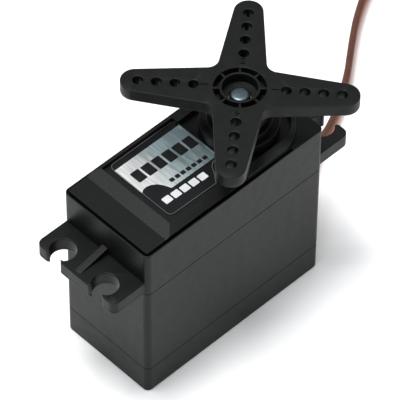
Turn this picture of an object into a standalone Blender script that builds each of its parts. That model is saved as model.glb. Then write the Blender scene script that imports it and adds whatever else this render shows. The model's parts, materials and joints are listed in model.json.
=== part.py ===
"""A standard hobby servo motor with a four-armed horn, a three-wire ribbon lead and its gear train.

Sizes are in millimetres and MM turns them into Blender's metres. +Z is up along the output shaft,
+X points to the output end of the case, and the origin is on the shaft's axis at the case's bottom.
"""

import math

import bmesh
import bpy

MM = 0.001
GAP = 0.3

# Case
CASE_BACK = -30.4
CASE_FRONT = 10.0
CASE_HALF = 9.9
CASE_CORNER = 1.1
WALL = 1.4
INNER_BACK = CASE_BACK + WALL
INNER_FRONT = CASE_FRONT - WALL
INNER_HALF = CASE_HALF - WALL
FLOOR = 1.6
LOWER_SEAM = 5.9
UPPER_SEAM = 25.35
SEAM_HALF_GAP = GAP / 2
DECK_LOW = 23.7
DECK_HIGH = UPPER_SEAM - SEAM_HALF_GAP
TOP_LOW = UPPER_SEAM + SEAM_HALF_GAP
ROOF = 34.5
WALL_TOP = 34.9
LEDGE = 35.35
PLATEAU = 36.05
POCKET_FLOOR = 35.3
MOAT_FLOOR = 34.95
RIM = 0.58
LEDGE_CORNER = 0.4
OUTPUT_DECK = 35.25
OUTPUT_DECK_BACK = 3.0
OUTPUT_DECK_INSET = 0.25
FRAME_HALF = 9.2
FRAME_ARC = 9.4
FRAME_BACK = -7.0
FRAME_SLOPE = 0.28
LABEL_FRAME = (-23.1, -7.5, 8.6)

PARTITION = (-7.25, -6.1)
PARTITION_LOW = 10.0
BUSH_SEAT = 6.2
BUSH_SEAT_LOW = 21.8
MOAT_BACK = -6.75
MOAT_FRONT = 8.1
MOAT_HALF = 7.4
MOAT_CORNER = 5.8
LABEL_THICK = 0.2

# Mounting ears
EAR_BACK = -37.2
EAR_FRONT = 16.9
EAR_HALF = 9.3
EAR_LOW = 25.6
EAR_HIGH = 28.3
EAR_CORNER = 1.3
EAR_HOLE = 2.27
EAR_SLOT_HALF = 1.4
EAR_HOLE_Y = 5.0
EAR_HOLES_BACK = -35.0
EAR_HOLES_FRONT = 14.5
RIB_HALF = 0.65
RIB_HIGH = 29.7
RIB_REACH = 6.2

# Case screws
SCREW_PLACES = [(-27.8, -7.3), (-27.8, 7.3), (7.4, -7.3), (7.4, 7.3)]
SCREW_HEAD = 1.7
SCREW_SHANK = 0.9
SCREW_TIP = 30.6
SCREW_HOLE = SCREW_SHANK + GAP
PILLAR = 2.1
COUNTERBORE = 2.0
COUNTERBORE_HIGH = 1.45

# Gear train: the motor's pinion drives gear 1, and gears 1, 2 and 3 drive the output wheel in turn
MOTOR_X = -17.71
PIN_1 = (-10.57, -1.95)
PIN_2 = (-15.98, 2.8)
FINE = 0.4
COARSE = 0.5
MOTOR_TEETH = 10
WHEEL_1_TEETH = 27
WHEEL_TEETH = 26
PINION_TEETH = 10
LAST_PINION_TEETH = 12
OUTPUT_TEETH = 31
PRESSURE_ANGLE = math.radians(25)
ADDENDUM = 0.85
DEDENDUM = 1.2
BACKLASH = 0.1
PIN_1_RADIUS = 0.75
PIN_2_RADIUS = 0.6
PIN_LOW = 24.4
GEAR_BORE = 1.05
MOTOR_PINION_LEVELS = (25.2, 27.6)
GEAR_1_LEVELS = (25.7, 27.5, 29.6)
GEAR_2_LEVELS = (27.9, 29.5, 31.5)
GEAR_3_LEVELS = (29.9, 31.5, 34.1)
OUTPUT_WHEEL_LEVELS = (31.9, 34.2)

# Output shaft and horn
OUTPUT_HUB = 3.9
JOURNAL_LOW = 3.0
JOURNAL_HIGH = 3.2
SPLINE = 2.95
SPLINE_LOW = 38.6
SPLINE_HIGH = 42.2
SHAFT_LOW = 23.9
SHAFT_TIP = 43.3
TIP_RADIUS = 1.6
LOW_BUSH = 4.3
SEAT_BORE = 3.5
BOSS_STEPS = [(6.75, 37.4), (5.5, 38.2)]
BUSH_BORE = 4.8
HORN_TURN = math.radians(40.8)
HORN_LOW = 39.0
HORN_PLATE_LOW = 42.6
HORN_HIGH = 45.0
HORN_TIP_RADIUS = 2.5
HORN_TIP_CENTRE = 17.2
HORN_TAPER = math.radians(7.15)
HORN_FILLET = 3.1
HORN_HUB = 4.9
HORN_HOLE = 0.875
HORN_HOLE_RADII = [7.6, 10.65, 13.7, 16.75]
HORN_MOAT = (3.4, 4.4, 1.6)
HORN_RIBS = 8
HORN_RIB_TURN = math.radians(4.7)

# Motor
CAN_RADIUS = 10.05
CAN_NECK = 3.0
CAN_FLAT = 7.55
CAN_WALL = 0.8
CAN_LOW = 7.6
CAN_HIGH = 23.2
CAP_LOW = 4.6
MOTOR_SHAFT = 0.85
TERMINAL_Y = 5.5
MAGNET_INNER = 6.9
MAGNET_LEVELS = (10.5, 20.0)
MAGNET_SPAN = 42
ARMATURE = 6.3
ARMATURE_LEVELS = (10.5, 19.0)
COMMUTATOR = 2.2
COMMUTATOR_LEVELS = (8.0, 10.2)

# Feedback potentiometer and circuit board
POT_RADIUS = 5.6
POT_LOW = 14.5
POT_HIGH = 21.5
POT_SHAFT = 1.9
BOARD_LOW = 2.6
BOARD_HIGH = 3.6
PART_LOW = BOARD_HIGH + GAP

# Lead: a flat ribbon of three wires
RIBBON_WIDTH = 3.6
RIBBON_THICK = 1.25
NOTCH_HALF = 2.4
NOTCH_LOW = 4.4
NOTCH_HIGH = 7.4
RIBBON_REST = RIBBON_THICK / 2 + 0.03
COIL_CENTRE = (87.3, 11.2)
COIL_OUTER_TURN = 22.0
TURN_PITCH = 3.9
COIL_HIGH = 1.35
CONNECTOR = (14.0, 7.6, 2.5)
CONNECTOR_PLACE = (81.65, 15.17)
CONNECTOR_TURN = math.radians(29.7)
CONTACT_PITCH = 2.54

PARTS = None
CUTTERS = None
MATERIALS = {}


# ---------------------------------------------------------------- helpers


def clear_scene():
    """Empties the scene and makes the two collections."""
    global PARTS, CUTTERS
    for thing in list(bpy.data.objects):
        bpy.data.objects.remove(thing)
    PARTS = bpy.data.collections.new("servo_motor")
    CUTTERS = bpy.data.collections.new("cutters")
    for group in (PARTS, CUTTERS):
        bpy.context.scene.collection.children.link(group)


def material(name, colour, roughness, metallic=0.0):
    made = bpy.data.materials.new(name)
    made.use_nodes = True
    shader = made.node_tree.nodes["Principled BSDF"]
    shader.inputs["Base Color"].default_value = (*colour, 1.0)
    shader.inputs["Roughness"].default_value = roughness
    shader.inputs["Metallic"].default_value = metallic
    MATERIALS[name] = made


def make_materials():
    material("black_plastic", (0.022, 0.024, 0.024), 0.42)
    material("horn_plastic", (0.026, 0.028, 0.028), 0.45)
    material("label_print", (0.55, 0.58, 0.60), 0.3, 0.6)
    material("screw_steel", (0.35, 0.35, 0.36), 0.35, 1.0)
    material("bush_brass", (0.62, 0.47, 0.2), 0.3, 1.0)
    material("gear_nylon", (0.82, 0.80, 0.74), 0.5)
    material("pin_steel", (0.6, 0.6, 0.62), 0.25, 1.0)
    material("motor_steel", (0.5, 0.5, 0.52), 0.35, 1.0)
    material("magnet", (0.06, 0.06, 0.06), 0.6)
    material("winding", (0.55, 0.22, 0.09), 0.4, 0.9)
    material("pot_case", (0.05, 0.09, 0.07), 0.5)
    material("board", (0.03, 0.16, 0.07), 0.45)
    material("chip", (0.02, 0.02, 0.02), 0.5)
    material("carbon", (0.03, 0.03, 0.03), 0.6)
    material("connector_plastic", (0.025, 0.025, 0.025), 0.45)
    material("rubber", (0.02, 0.02, 0.02), 0.75)
    material("lead", (0.34, 0.07, 0.03), 0.5)


def new_object(name, mesh, group=None):
    made = bpy.data.objects.new(name, mesh)
    (group or CUTTERS).objects.link(made)
    if group is None:
        made.hide_render = True
        made.display_type = "WIRE"
    return made


def finished(shape, name, surface):
    """Turns a helper shape into a named part with its material."""
    CUTTERS.objects.unlink(shape)
    PARTS.objects.link(shape)
    shape.name = name
    shape.data.name = name
    shape.hide_render = False
    shape.display_type = "TEXTURED"
    shape.data.materials.clear()
    shape.data.materials.append(MATERIALS[surface])
    return shape


def from_bmesh(name, shape):
    mesh = bpy.data.meshes.new(name)
    shape.to_mesh(mesh)
    shape.free()
    mesh.shade_smooth()
    mesh.set_sharp_from_angle(angle=math.radians(35))
    return new_object(name, mesh)


def cylinder(radius, low, high, place=(0.0, 0.0), sides=32):
    shape = bmesh.new()
    depth = (high - low) * MM
    bmesh.ops.create_cone(
        shape, cap_ends=True, segments=sides, radius1=radius * MM, radius2=radius * MM, depth=depth
    )
    made = from_bmesh("cylinder", shape)
    made.location = (place[0] * MM, place[1] * MM, (low + high) / 2 * MM)
    return made


def block(low, high):
    """A box between two corners, its origin at its middle."""
    shape = bmesh.new()
    bmesh.ops.create_cube(shape, size=1.0)
    size = [(b - a) * MM for a, b in zip(low, high)]
    bmesh.ops.scale(shape, vec=size, verts=shape.verts)
    made = from_bmesh("block", shape)
    made.location = [(a + b) / 2 * MM for a, b in zip(low, high)]
    return made


def turned(profile, place=(0.0, 0.0), steps=32):
    """A turned shape from (radius, height) points, listed down the outer side from the top."""
    mesh = bpy.data.meshes.new("turned")
    edges = [(i, i + 1) for i in range(len(profile) - 1)]
    if profile[0][0] > 0:
        edges.append((len(profile) - 1, 0))
    mesh.from_pydata([(r * MM, 0.0, z * MM) for r, z in profile], edges, [])
    made = new_object("turned", mesh)
    made.location = (place[0] * MM, place[1] * MM, 0.0)
    screw = made.modifiers.new("turn", "SCREW")
    screw.steps = steps
    screw.render_steps = steps
    screw.use_merge_vertices = True
    screw.merge_threshold = 0.001 * MM
    screw.use_smooth_shade = False
    return made


def sloped(low_outline, high_outline, low, high):
    """A flat-topped shape whose sides slope between two outlines with the same number of points."""
    shape = bmesh.new()
    rings = []
    for outline, level in ((low_outline, low), (high_outline, high)):
        rings.append([shape.verts.new((x * MM, y * MM, level * MM)) for x, y in outline])
    low_ring, high_ring = rings
    shape.faces.new(reversed(low_ring))
    shape.faces.new(high_ring)
    for i in range(len(low_ring)):
        shape.faces.new((low_ring[i - 1], low_ring[i], high_ring[i], high_ring[i - 1]))
    return from_bmesh("sloped", shape)


def plate(outlines, low, high, upright=False):
    """A flat piece between two levels: the first outline is its edge and the others are holes.

    An upright plate's outline is in X and Z, and its levels are along -Y.
    """
    curve = bpy.data.curves.new("plate", "CURVE")
    curve.dimensions = "2D"
    curve.fill_mode = "BOTH"
    curve.extrude = (high - low) / 2 * MM
    for outline in outlines:
        spline = curve.splines.new("POLY")
        spline.points.add(len(outline) - 1)
        for point, (x, y) in zip(spline.points, outline):
            point.co = (x * MM, y * MM, 0.0, 1.0)
        spline.use_cyclic_u = True
    guide = new_object("guide", curve)
    middle = (low + high) / 2 * MM
    if upright:
        guide.rotation_euler.x = math.pi / 2
        guide.location.y = -middle
    else:
        guide.location.z = middle
    bpy.context.view_layer.update()
    graph = bpy.context.evaluated_depsgraph_get()
    mesh = bpy.data.meshes.new_from_object(guide.evaluated_get(graph))
    shape = bmesh.new()
    shape.from_mesh(mesh)
    bmesh.ops.remove_doubles(shape, verts=shape.verts, dist=0.0005 * MM)
    bpy.data.meshes.remove(mesh)
    made = from_bmesh("plate", shape)
    made.matrix_world = guide.matrix_world
    bpy.data.objects.remove(guide)
    return made


def combine(base, join=(), cut=()):
    """Joins some shapes to the base, and then cuts others from it."""
    for operation, shapes in (("UNION", join), ("DIFFERENCE", cut)):
        for shape in shapes:
            modifier = base.modifiers.new(operation.lower(), "BOOLEAN")
            modifier.operation = operation
            modifier.solver = "EXACT"
            modifier.object = shape
    return base


def hang_on(parent, *children):
    """Parents pieces to an empty and keeps them where they are."""
    bpy.context.view_layer.update()
    for child in children:
        placed = child.matrix_world.copy()
        child.parent = parent
        child.matrix_parent_inverse = parent.matrix_world.inverted()
        child.matrix_world = placed


def axis_empty(name, x, y, z):
    empty = bpy.data.objects.new(name, None)
    PARTS.objects.link(empty)
    empty.location = (x * MM, y * MM, z * MM)
    empty.empty_display_size = 5 * MM
    return empty


# ---------------------------------------------------------------- outlines


def arc(x, y, radius, start, end, steps):
    """Points along an arc, its angles in degrees."""
    angles = [math.radians(start + (end - start) * i / steps) for i in range(steps + 1)]
    return [(x + radius * math.cos(a), y + radius * math.sin(a)) for a in angles]


def circle(x, y, radius, sides):
    return arc(x, y, radius, 0, 360, sides)[:-1]


def rounded(x0, x1, y0, y1, radius, steps=3):
    corners = [(x1, y1, 0), (x0, y1, 90), (x0, y0, 180), (x1, y0, 270)]
    points = []
    for x, y, start in corners:
        middle_x = x - math.copysign(radius, x - (x0 + x1) / 2)
        middle_y = y - math.copysign(radius, y - (y0 + y1) / 2)
        points += arc(middle_x, middle_y, radius, start, start + 90, steps)
    return points


def case_outline(inset=0.0):
    half = CASE_HALF - inset
    return rounded(CASE_BACK + inset, CASE_FRONT - inset, -half, half, CASE_CORNER)


def inner_outline():
    return [
        (INNER_FRONT, INNER_HALF),
        (INNER_BACK, INNER_HALF),
        (INNER_BACK, -INNER_HALF),
        (INNER_FRONT, -INNER_HALF),
    ]


def flat_sided(radius, half, x=0.0, steps=10):
    """A circle whose +Y and -Y sides are cut flat."""
    side = math.degrees(math.asin(half / radius))
    return arc(x, 0, radius, -side, side, steps) + arc(x, 0, radius, 180 - side, 180 + side, steps)


def d_shape(radius, flat, steps=18):
    """A circle with one flat, at +X."""
    side = math.degrees(math.acos(flat / radius))
    return arc(0, 0, radius, side, 360 - side, steps)


def tooth_outline(x, y, teeth, module, phase, flank_steps=2):
    """Involute teeth round a centre; one tooth points along the phase angle."""
    pitch = teeth * module / 2
    base = pitch * math.cos(PRESSURE_ANGLE)
    tip = pitch + ADDENDUM * module
    root = pitch - DEDENDUM * module
    start = max(base, root)
    half = math.pi / 2 / teeth - BACKLASH / 2 / pitch

    def involute(radius):
        slope = math.acos(min(1.0, base / radius))
        return math.tan(slope) - slope

    radii = [start + (tip - start) * i / flank_steps for i in range(flank_steps + 1)]
    flank = [(r, half + involute(pitch) - involute(r)) for r in radii]
    if root < base:
        flank.insert(0, (root, flank[0][1]))
    points = []
    for tooth in range(teeth):
        middle = phase + 2 * math.pi * tooth / teeth
        sides = [(r, middle - a) for r, a in flank] + [(r, middle + a) for r, a in reversed(flank)]
        points += [(x + r * math.cos(a), y + r * math.sin(a)) for r, a in sides]
    return points


def mesh_phase(driver, driver_phase, driver_teeth, wheel, wheel_teeth):
    """The phase that puts a gap of the wheel against the driver's teeth."""
    line = math.atan2(wheel[1] - driver[1], wheel[0] - driver[0])
    turned_by = (line - driver_phase) * driver_teeth / wheel_teeth
    return line + math.pi + turned_by + math.pi / wheel_teeth


def horn_outline():
    """Four tapering arms with round tips, joined by fillets."""
    lean = math.degrees(HORN_TAPER)
    side = HORN_TIP_CENTRE * math.sin(HORN_TAPER) + HORN_TIP_RADIUS
    reach = (side + HORN_FILLET) * math.sqrt(2) / (math.sin(HORN_TAPER) + math.cos(HORN_TAPER))
    points = []
    for arm in range(4):
        turn = math.degrees(HORN_TURN) + 90 * arm
        tip_x = HORN_TIP_CENTRE * math.cos(math.radians(turn))
        tip_y = HORN_TIP_CENTRE * math.sin(math.radians(turn))
        points += arc(tip_x, tip_y, HORN_TIP_RADIUS, turn - 90 + lean, turn + 90 - lean, 8)
        crotch_x = reach * math.cos(math.radians(turn + 45))
        crotch_y = reach * math.sin(math.radians(turn + 45))
        points += arc(crotch_x, crotch_y, HORN_FILLET, turn + 270 - lean, turn + 180 + lean, 6)
    return points


# ---------------------------------------------------------------- case


def screw_pillars(low, high):
    return [cylinder(PILLAR, low, high, place, 20) for place in SCREW_PLACES]


def screw_holes(radius, low, high):
    return [cylinder(radius, low, high, place, 16) for place in SCREW_PLACES]


def lead_notch():
    return block((INNER_FRONT - 1, -NOTCH_HALF, NOTCH_LOW), (CASE_FRONT + 1, NOTCH_HALF, NOTCH_HIGH))


def make_bottom_cover():
    """The tray that closes the case from below, with the four screw counterbores."""
    high = LOWER_SEAM - SEAM_HALF_GAP
    floor = plate([case_outline()], 0, FLOOR)
    walls = plate([case_outline(), inner_outline()], FLOOR - 0.6, high)
    rests = [block((x, -INNER_HALF - 0.5, 1), (x + 1.2, INNER_HALF + 0.5, 2.3)) for x in (-21, 1)]
    cover = combine(
        floor,
        [walls] + screw_pillars(FLOOR - 0.5, high) + rests,
        screw_holes(SCREW_HOLE, -1, high + 1)
        + screw_holes(COUNTERBORE, -1, COUNTERBORE_HIGH)
        + [lead_notch()],
    )
    return finished(cover, "bottom_cover", "black_plastic")


def make_middle_case():
    """The tall part of the case: walls, a partition, and the deck that the gears stand on."""
    low = LOWER_SEAM + SEAM_HALF_GAP
    walls = plate([case_outline(), inner_outline()], low, DECK_HIGH)
    deck = plate([case_outline(0.5)], DECK_LOW, DECK_HIGH)
    back, front = PARTITION
    reach = INNER_HALF + 0.5
    partition = block((back, -reach, PARTITION_LOW), (front, reach, DECK_LOW + 0.5))
    bush_seat = cylinder(BUSH_SEAT, BUSH_SEAT_LOW, DECK_LOW + 0.5)
    holes = [
        cylinder(CAN_NECK + GAP, DECK_LOW - 1, DECK_HIGH + 1, (MOTOR_X, 0)),
        cylinder(PIN_1_RADIUS + GAP, PIN_LOW - GAP, DECK_HIGH + 1, PIN_1, 16),
        cylinder(PIN_2_RADIUS + GAP, PIN_LOW - GAP, DECK_HIGH + 1, PIN_2, 16),
        cylinder(LOW_BUSH + GAP, DECK_LOW - GAP, DECK_HIGH + 1),
        cylinder(SEAT_BORE, BUSH_SEAT_LOW - 1, DECK_HIGH),
        lead_notch(),
    ]
    case = combine(
        walls,
        [deck, partition, bush_seat] + screw_pillars(low, DECK_LOW + 0.5),
        holes + screw_holes(SCREW_HOLE, low - 1, DECK_HIGH + 1),
    )
    return finished(case, "middle_case", "black_plastic")


def ear_outline():
    """Both mounting ears in one outline, with its four slots open to the ends."""
    points = []
    lip = math.degrees(math.asin(EAR_SLOT_HALF / EAR_HOLE))
    for end, hole_x, turn in ((EAR_FRONT, EAR_HOLES_FRONT, 0), (EAR_BACK, EAR_HOLES_BACK, 180)):
        corner = end - math.copysign(EAR_CORNER, end)
        side = math.copysign(1, end)
        points += arc(corner, -side * (EAR_HALF - EAR_CORNER), EAR_CORNER, turn - 90, turn, 3)
        for y in (-EAR_HOLE_Y, EAR_HOLE_Y):
            middle = side * y
            points.append((end, middle - side * EAR_SLOT_HALF))
            points += arc(hole_x, middle, EAR_HOLE, turn - lip, turn - 360 + lip, 16)
            points.append((end, middle + side * EAR_SLOT_HALF))
        points += arc(corner, side * (EAR_HALF - EAR_CORNER), EAR_CORNER, turn, turn + 90, 3)
    return points


def ear_ribs():
    """The stiffening rib on each ear, which slopes from the wall to the ear's end."""
    ribs = []
    for wall, side in ((CASE_FRONT, 1), (CASE_BACK, -1)):
        inner = wall - side * 1.0
        outline = [
            (inner, EAR_HIGH - 0.5),
            (wall + side * RIB_REACH, EAR_HIGH - 0.5),
            (wall + side * RIB_REACH, EAR_HIGH + 0.05),
            (wall, RIB_HIGH),
            (inner, RIB_HIGH),
        ]
        ribs.append(plate([outline], -RIB_HALF, RIB_HALF, upright=True))
    return ribs


def output_deck_outline():
    """The ledge at the output end, which reaches nearly to the walls."""
    half = CASE_HALF - OUTPUT_DECK_INSET
    front = CASE_FRONT - OUTPUT_DECK_INSET
    corner = CASE_CORNER - OUTPUT_DECK_INSET
    middle = half - corner
    points = arc(front - corner, -middle, corner, -90, 0, 3)
    points += arc(front - corner, middle, corner, 0, 90, 3)
    return points + [(OUTPUT_DECK_BACK - 0.5, half), (OUTPUT_DECK_BACK - 0.5, -half)]


def shaft_frame_outline():
    """The flat raised frame round the moat, whose output end is an arc about the shaft."""
    side = math.degrees(math.asin(FRAME_HALF / FRAME_ARC))
    ends = [(FRAME_BACK, FRAME_HALF), (FRAME_BACK, -FRAME_HALF)]
    return arc(0, 0, FRAME_ARC, -side, side, 16) + ends


def moat_outline():
    """The sunken floor round the output boss."""
    x = MOAT_FRONT - MOAT_CORNER
    y = MOAT_HALF - MOAT_CORNER
    corners = arc(x, -y, MOAT_CORNER, 270, 360, 6) + arc(x, y, MOAT_CORNER, 0, 90, 6)
    return [(MOAT_BACK, -MOAT_HALF)] + corners + [(MOAT_BACK, MOAT_HALF)]


def label_pocket_outline():
    return [
        (-23.0, 8.6),
        (-23.0, -7.5),
        (-11.2, -7.5),
        (-10.0, -6.6),
        (-9.3, -5.5),
        (MOAT_BACK + 0.05, -1.5),
        (MOAT_BACK + 0.05, 8.6),
    ]


def label_frame():
    """The raised frame round the label pocket, which slopes down to the ledge on three sides."""
    low = LEDGE - FRAME_SLOPE
    run = (PLATEAU - low) / FRAME_SLOPE
    front = FRAME_BACK + 0.5
    back, right, left = LABEL_FRAME
    high_outline = [(front, left), (back, left), (back, right), (front, right)]
    low_outline = [
        (front, left + run),
        (back - run, left + run),
        (back - run, right - run),
        (front, right - run),
    ]
    half = CASE_HALF - RIM
    trims = [
        block((CASE_BACK, half, low - 1), (front + 1, half + 5, PLATEAU + 1)),
        block((CASE_BACK, -half - 5, low - 1), (front + 1, -half, PLATEAU + 1)),
    ]
    return combine(sloped(low_outline, high_outline, low, PLATEAU), cut=trims)


def make_top_case():
    """The gear cover, with the ears, the raised top, the label pocket and the output boss."""
    ledge_half = CASE_HALF - RIM
    ledge = rounded(CASE_BACK + RIM, OUTPUT_DECK_BACK, -ledge_half, ledge_half, LEDGE_CORNER)
    joined = [
        plate([case_outline()], ROOF - 0.1, WALL_TOP),
        plate([ledge], ROOF, LEDGE),
        plate([output_deck_outline()], ROOF, OUTPUT_DECK),
        plate([ear_outline(), inner_outline()], EAR_LOW, EAR_HIGH),
        plate([shaft_frame_outline()], LEDGE - 0.3, PLATEAU),
        label_frame(),
    ] + ear_ribs()
    bosses = [cylinder(BOSS_STEPS[0][0], ROOF, BOSS_STEPS[0][1], sides=48)]
    bosses.append(cylinder(BOSS_STEPS[1][0], ROOF, BOSS_STEPS[1][1], sides=48))
    bosses.append(cylinder(1.7, 31.9, ROOF + 0.2, PIN_2, 20))
    sunken = [
        plate([label_pocket_outline()], POCKET_FLOOR, PLATEAU + 1),
        plate([moat_outline()], MOAT_FLOOR, PLATEAU + 1),
    ]
    holes = [
        cylinder(BUSH_BORE, ROOF - 1, BOSS_STEPS[1][1] + 1, sides=40),
        cylinder(PIN_1_RADIUS + GAP, ROOF - 1, ROOF + 0.45, PIN_1, 16),
        cylinder(PIN_2_RADIUS + GAP, 31, 33.8, PIN_2, 16),
    ]
    walls = plate([case_outline(), inner_outline()], TOP_LOW, ROOF + 0.2)
    shell = combine(walls, joined, sunken)
    shell = combine(shell, bosses + screw_pillars(TOP_LOW, 31.4), holes)
    combine(shell, cut=screw_holes(SCREW_HOLE, TOP_LOW - 1, SCREW_TIP + GAP))
    return finished(shell, "top_case", "black_plastic")


def make_case_screws():
    """Four long screws with cross-slotted heads sunk in the bottom cover."""
    head_high = COUNTERBORE_HIGH - GAP
    for index, place in enumerate(SCREW_PLACES):
        head = cylinder(SCREW_HEAD, 0.15, head_high, place, 20)
        shank = cylinder(SCREW_SHANK, head_high - 0.2, SCREW_TIP, place, 12)
        slots = [
            block((place[0] - 1.1, place[1] - 0.2, -1), (place[0] + 1.1, place[1] + 0.2, 0.75)),
            block((place[0] - 0.2, place[1] - 1.1, -1), (place[0] + 0.2, place[1] + 1.1, 0.75)),
        ]
        finished(combine(head, [shank], slots), f"case_screw_{index + 1}", "screw_steel")


def make_label():
    low = POCKET_FLOOR + GAP
    outline = (
        arc(-7.8, 7.1, 1.0, 0, 90, 3)
        + arc(-20.5, 7.25, 1.0, 90, 180, 3)
        + arc(-20.75, -5.3, 1.0, 180, 270, 3)
        + [(-11.3, -6.4), (-10.1, -4.9), (-9.2, -3.1), (-7.2, -2.3)]
    )
    finished(plate([outline], low, low + LABEL_THICK), "label", "label_print")


# ---------------------------------------------------------------- output


def make_output():
    """The output gear with its shaft, its two bushes, the horn and the sensor shaft it turns."""
    wheel_low, wheel_high = OUTPUT_WHEEL_LEVELS
    phase = gear_phases()["output"]
    body = turned(
        [
            (0, SHAFT_TIP),
            (TIP_RADIUS, SHAFT_TIP),
            (TIP_RADIUS, SPLINE_HIGH),
            (SPLINE, SPLINE_HIGH),
            (SPLINE, SPLINE_LOW),
            (JOURNAL_HIGH, SPLINE_LOW),
            (JOURNAL_HIGH, wheel_high - 0.1),
            (OUTPUT_HUB, wheel_high - 0.1),
            (OUTPUT_HUB, DECK_HIGH + GAP),
            (JOURNAL_LOW, DECK_HIGH + GAP),
            (JOURNAL_LOW, SHAFT_LOW),
            (0, SHAFT_LOW),
        ],
        steps=40,
    )
    wheel = plate([tooth_outline(0, 0, OUTPUT_TEETH, COARSE, phase)], wheel_low, wheel_high)
    socket = plate([d_shape(POT_SHAFT + GAP, 1.6)], 23, 30.8)
    gear = finished(combine(body, [wheel], [socket]), "output_gear", "gear_nylon")

    bore = JOURNAL_LOW + GAP
    low_bush = [(LOW_BUSH, DECK_HIGH), (LOW_BUSH, DECK_LOW), (bore, DECK_LOW), (bore, DECK_HIGH)]
    bore = JOURNAL_HIGH + GAP
    outer = BUSH_BORE - GAP
    high_bush = [(outer, 37.9), (outer, 34.6), (bore, 34.6), (bore, 37.9)]
    finished(turned(low_bush), "output_bush_lower", "bush_brass")
    finished(turned(high_bush), "output_bush_upper", "bush_brass")
    return gear


def make_horn():
    """The four-armed horn, its hub socketed for the splined shaft."""
    holes = []
    for arm in range(4):
        turn = HORN_TURN + arm * math.pi / 2
        for radius in HORN_HOLE_RADII:
            holes.append(circle(radius * math.cos(turn), radius * math.sin(turn), HORN_HOLE, 12))
    arms = plate([horn_outline()] + holes, HORN_PLATE_LOW, HORN_HIGH)
    inner, outer, deep = HORN_MOAT
    moat_low = HORN_HIGH - deep
    moat = turned([(outer, HORN_HIGH + 1), (outer, moat_low), (inner, moat_low), (inner, HORN_HIGH + 1)])
    ribs = []
    for rib_index in range(HORN_RIBS):
        angle = HORN_TURN + HORN_RIB_TURN + 2 * math.pi * rib_index / HORN_RIBS
        rib = block((inner - 0.2, -0.2, moat_low - 0.2), (outer + 0.3, 0.2, HORN_HIGH - 0.15))
        middle = (inner + outer + 0.1) / 2
        rib.rotation_euler.z = angle
        rib.location.x = middle * math.cos(angle) * MM
        rib.location.y = middle * math.sin(angle) * MM
        ribs.append(rib)
    cuts = [
        cylinder(3.25, HORN_LOW - 1, 42.3, sides=40),
        cylinder(3.0, 43.0, HORN_HIGH + 1, sides=32),
        cylinder(1.9, 42, 44, sides=24),
    ]
    hub = cylinder(HORN_HUB, HORN_LOW, HORN_PLATE_LOW + 0.5, sides=40)
    horn = combine(arms, [hub], [moat])
    return finished(combine(horn, ribs, cuts), "horn", "horn_plastic")


# ---------------------------------------------------------------- gears


def gear_phases():
    """The angle of one tooth of each gear, chosen so that the whole train meshes at rest."""
    motor = (MOTOR_X, 0.0)
    wheel_1 = mesh_phase(motor, 0.0, MOTOR_TEETH, PIN_1, WHEEL_1_TEETH)
    wheel_2 = mesh_phase(PIN_1, 0.0, PINION_TEETH, PIN_2, WHEEL_TEETH)
    wheel_3 = mesh_phase(PIN_2, 0.0, PINION_TEETH, PIN_1, WHEEL_TEETH)
    output = mesh_phase(PIN_1, 0.0, LAST_PINION_TEETH, (0.0, 0.0), OUTPUT_TEETH)
    return {"wheel_1": wheel_1, "wheel_2": wheel_2, "wheel_3": wheel_3, "output": output}


def cluster_gear(name, place, wheel, pinion, levels):
    """A wheel with a pinion on top of it, each given as (teeth, module, phase)."""
    low, middle, high = levels
    teeth, module, phase = wheel
    large = plate([tooth_outline(*place, teeth, module, phase)], low, middle)
    teeth, module, phase = pinion
    small = plate([tooth_outline(*place, teeth, module, phase)], middle - 0.4, high)
    bore = cylinder(GEAR_BORE, low - 1, high + 1, place, 16)
    return finished(combine(large, [small], [bore]), name, "gear_nylon")


def make_gears():
    """Three cluster gears on two pins."""
    phases = gear_phases()
    gears = [
        cluster_gear(
            "gear_1",
            PIN_1,
            (WHEEL_1_TEETH, FINE, phases["wheel_1"]),
            (PINION_TEETH, FINE, 0.0),
            GEAR_1_LEVELS,
        ),
        cluster_gear(
            "gear_2",
            PIN_2,
            (WHEEL_TEETH, FINE, phases["wheel_2"]),
            (PINION_TEETH, FINE, 0.0),
            GEAR_2_LEVELS,
        ),
        cluster_gear(
            "gear_3",
            PIN_1,
            (WHEEL_TEETH, FINE, phases["wheel_3"]),
            (LAST_PINION_TEETH, COARSE, 0.0),
            GEAR_3_LEVELS,
        ),
    ]
    finished(cylinder(PIN_1_RADIUS, PIN_LOW, ROOF + 0.15, PIN_1, 16), "gear_pin_1", "pin_steel")
    finished(cylinder(PIN_2_RADIUS, PIN_LOW, 33.5, PIN_2, 16), "gear_pin_2", "pin_steel")
    return gears


# ---------------------------------------------------------------- motor


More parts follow.
